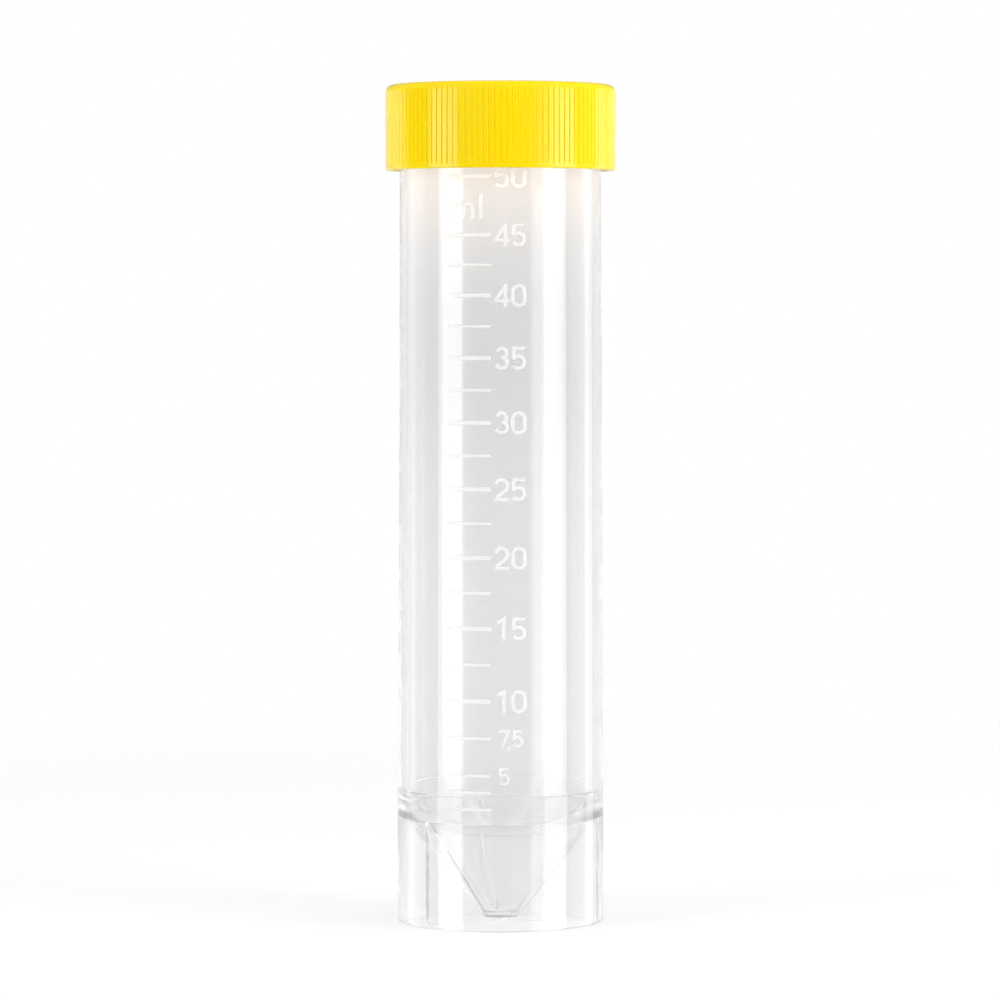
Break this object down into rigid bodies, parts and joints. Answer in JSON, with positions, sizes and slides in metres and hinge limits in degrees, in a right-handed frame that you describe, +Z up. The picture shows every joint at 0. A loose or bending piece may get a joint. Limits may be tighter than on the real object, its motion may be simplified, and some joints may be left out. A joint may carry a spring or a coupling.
{
  "type": "50 ml conical tube",
  "caption": "Self-standing conical lab tube of clear plastic with a moulded volume scale and a ribbed yellow screw cap.",
  "frame": {"origin": "centre of the underside of the foot ring, on the tube's axis, on the surface that it stands on", "axes": "+Z up along the tube's axis to the cap; -Y is the front, where the moulded scale is; +X is to the right seen from the front"},
  "size_m": [0.032, 0.032, 0.1165],
  "materials": {
    "tube": "clear moulded plastic with a slight haze and frosted raised scale",
    "cap": "opaque yellow moulded plastic, satin gloss"
  },
  "bodies": {
    "tube": {"tube": "tube"},
    "cap": {"cap": "cap"}
  },
  "joints": [
    {"name": "cap_lift", "type": "slide", "parent": "tube", "child": "cap", "axis": [0, 0, 1], "range_m": [0, 0.025]}
  ]
}
